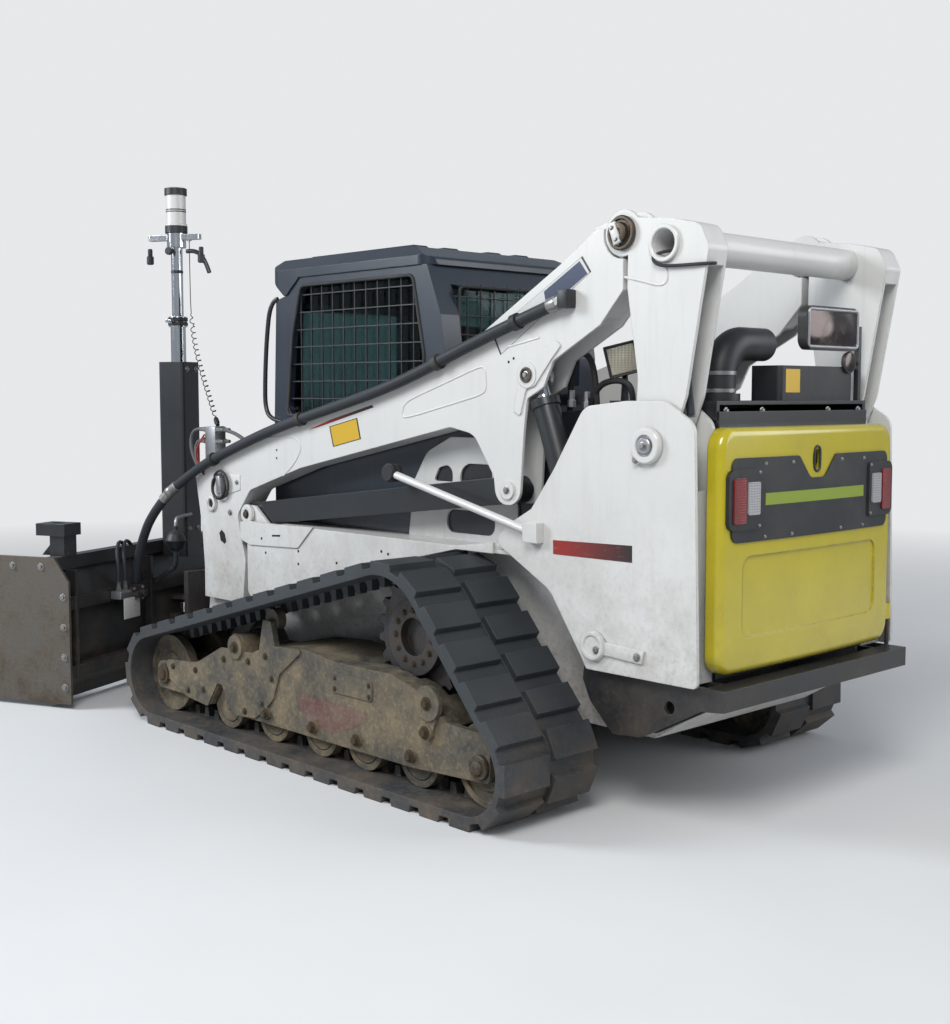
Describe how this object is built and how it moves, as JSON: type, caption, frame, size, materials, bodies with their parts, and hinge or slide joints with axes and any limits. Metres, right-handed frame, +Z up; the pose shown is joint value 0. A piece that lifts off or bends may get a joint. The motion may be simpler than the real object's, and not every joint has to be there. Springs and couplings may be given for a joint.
{
  "type": "compact track loader with laser grading blade",
  "caption": "Rubber-tracked loader with a closed cab, vertical-path lift arms and an angled blade that carries a laser mast.",
  "frame": {"origin": "on the ground, under the middle of the whole machine's box", "axes": "+X forward, +Y to the machine's left, +Z up"},
  "size_m": [4.8554, 2.476, 2.486],
  "materials": {
    "rubber": "dusty dark grey rubber",
    "earthy_paint": "dark grey paint under dried earth",
    "worn_steel": "worn dark steel",
    "black_paint": "satin black",
    "white_paint": "semi-gloss off-white",
    "navy_paint": "satin charcoal",
    "engine_metal": "plain dark casting",
    "window_glass": "tinted",
    "mirror_shell": "matte black",
    "chair_cover": "black vinyl",
    "rod_chrome": "polished",
    "grey_steel": "mill grey",
    "yellow_paint": "glossy yellow-olive",
    "panel_plastic": "black",
    "lamp_lens": "red lens",
    "hose_rubber": "matte black sleeve"
  },
  "bodies": {
    "chassis": {"track_left": "rubber", "track_right": "rubber", "track_frame_left": "earthy_paint", "track_frame_right": "earthy_paint", "sprockets": "worn_steel", "rollers": "earthy_paint", "idlers": "earthy_paint", "drive_motors": "black_paint", "main_frame": "white_paint", "upright_left": "white_paint", "upright_right": "white_paint", "rear_bumper": "black_paint", "engine_block": "engine_metal", "engine_cover": "black_paint", "exhaust_elbow": "black_paint", "filter_box": "black_paint", "rear_mirror": "mirror_shell", "cab_shell": "navy_paint", "cab_roof": "navy_paint", "cab_glass": "window_glass", "operator_chair": "chair_cover", "controls": "black_paint", "work_lamp": "black_paint", "arm_stop_bar": "white_paint", "radiator_grille": "black_paint", "window_screens": "black_paint"},
    "rear_link": {"rear_link_left": "white_paint", "rear_link_right": "white_paint", "link_cross_tube": "white_paint", "link_hose": "hose_rubber"},
    "lift_arm": {"lift_arm_left": "white_paint", "lift_arm_right": "white_paint", "arm_cross_member": "black_paint", "arm_hose": "hose_rubber"},
    "control_link": {"control_links": "black_paint"},
    "lift_barrel": {"lift_barrels": "black_paint"},
    "lift_rod": {"lift_rods": "rod_chrome"},
    "coupler": {"coupler_plate": "worn_steel", "blade_frame": "black_paint"},
    "tilt_barrel": {"tilt_barrels": "black_paint"},
    "tilt_rod": {"tilt_rods": "rod_chrome"},
    "blade": {"moldboard": "navy_paint", "end_plates": "grey_steel", "mast_housing": "black_paint", "blade_hose": "hose_rubber"},
    "mast": {"mast_tube": "rod_chrome", "mast_receiver": "white_paint", "mast_cord": "hose_rubber"},
    "angle_barrel_left": {"angle_barrel_left": "black_paint"},
    "angle_barrel_right": {"angle_barrel_right": "black_paint"},
    "angle_rod_left": {"angle_rod_left": "rod_chrome"},
    "angle_rod_right": {"angle_rod_right": "rod_chrome"},
    "tail_door": {"tailgate": "yellow_paint", "tail_panel": "panel_plastic", "tail_lamps": "lamp_lens"},
    "front_door": {"cab_door": "navy_paint", "door_glass": "window_glass"}
  },
  "joints": [
    {"name": "rear_link_lean", "type": "hinge", "parent": "chassis", "child": "rear_link", "pos_m": [-2.14274, -0.15806, 1.28], "axis": [0, -1, 0], "range_deg": [-3.53, 0.1]},
    {"name": "lift", "type": "hinge", "parent": "rear_link", "child": "lift_arm", "pos_m": [-2.01274, -0.15806, 1.967], "axis": [0, -1, 0], "range_deg": [0, 71.43]},
    {"name": "control_link_turn", "type": "hinge", "parent": "chassis", "child": "control_link", "pos_m": [0.15726, -0.15806, 0.913], "axis": [0, -1, 0], "range_deg": [-40.34, 0.1]},
    {"name": "lift_barrel_turn", "type": "hinge", "parent": "chassis", "child": "lift_barrel", "pos_m": [-1.91974, -0.15806, 0.601], "axis": [0, -1, 0], "range_deg": [-0.1, 1.79]},
    {"name": "lift_rod_slide", "type": "slide", "parent": "lift_barrel", "child": "lift_rod", "axis": [0.3448, 0, 0.9387], "range_m": [-0.0005, 0.69873]},
    {"name": "coupler_tilt", "type": "hinge", "parent": "lift_arm", "child": "coupler", "pos_m": [0.55026, -0.15806, 0.25], "axis": [0, -1, 0], "range_deg": [-40, 25]},
    {"name": "tilt_barrel_turn", "type": "hinge", "parent": "lift_arm", "child": "tilt_barrel", "pos_m": [0.31026, -0.15806, 0.9], "axis": [0, -1, 0], "range_deg": [-2.1, 3.3]},
    {"name": "tilt_rod_slide", "type": "slide", "parent": "tilt_barrel", "child": "tilt_rod", "axis": [0.6055, 0, -0.7958], "range_m": [-0.08694, 0.13881]},
    {"name": "blade_angle", "type": "hinge", "parent": "coupler", "child": "blade", "pos_m": [1.28026, -0.15806, 0.35], "axis": [0, 0, 1], "range_deg": [-50, 0]},
    {"name": "mast_slide", "type": "slide", "parent": "blade", "child": "mast", "axis": [0, 0, 1], "range_m": [-0.16, 0.6]},
    {"name": "tailgate_swing", "type": "hinge", "parent": "chassis", "child": "tail_door", "pos_m": [-2.35474, -0.70606, 0.94], "axis": [0, 0, 1], "range_deg": [0, 100]},
    {"name": "door_swing", "type": "hinge", "parent": "chassis", "child": "front_door", "pos_m": [0.18226, -0.53806, 1.445], "axis": [0, 0, -1], "range_deg": [0, 90]},
    {"name": "angle_barrel_left_turn", "type": "hinge", "parent": "coupler", "child": "angle_barrel_left", "pos_m": [0.81626, 0.14194, 0.35], "axis": [0, 0, 1], "range_deg": [-1.45, 0.1]},
    {"name": "angle_rod_left_slide", "type": "slide", "parent": "angle_barrel_left", "child": "angle_rod_left", "axis": [0.9991, -0.0423, 0], "range_m": [-0.0005, 0.25509]},
    {"name": "angle_barrel_right_turn", "type": "hinge", "parent": "coupler", "child": "angle_barrel_right", "pos_m": [0.81626, -0.45806, 0.35], "axis": [0, 0, 1], "range_deg": [-1.45, 0.1]},
    {"name": "angle_rod_right_slide", "type": "slide", "parent": "angle_barrel_right", "child": "angle_rod_right", "axis": [0.9978, 0.0659, 0], "range_m": [-0.25509, 0.0005]}
  ],
  "couplings": [
    {"joint": "rear_link_lean", "follows": "lift", "ratio": -0.048027},
    {"joint": "control_link_turn", "follows": "lift", "ratio": -0.56336},
    {"joint": "lift_barrel_turn", "follows": "lift", "ratio": 0.023722},
    {"joint": "lift_rod_slide", "follows": "lift", "m_per_rad": 0.56006},
    {"joint": "tilt_barrel_turn", "follows": "coupler_tilt", "ratio": -0.08},
    {"joint": "tilt_rod_slide", "follows": "coupler_tilt", "m_per_rad": -0.19812},
    {"joint": "angle_barrel_left_turn", "follows": "blade_angle", "ratio": 0.027031},
    {"joint": "angle_rod_left_slide", "follows": "blade_angle", "m_per_rad": -0.29174},
    {"joint": "angle_barrel_right_turn", "follows": "blade_angle", "ratio": 0.027031},
    {"joint": "angle_rod_right_slide", "follows": "blade_angle", "m_per_rad": 0.29174}
  ]
}
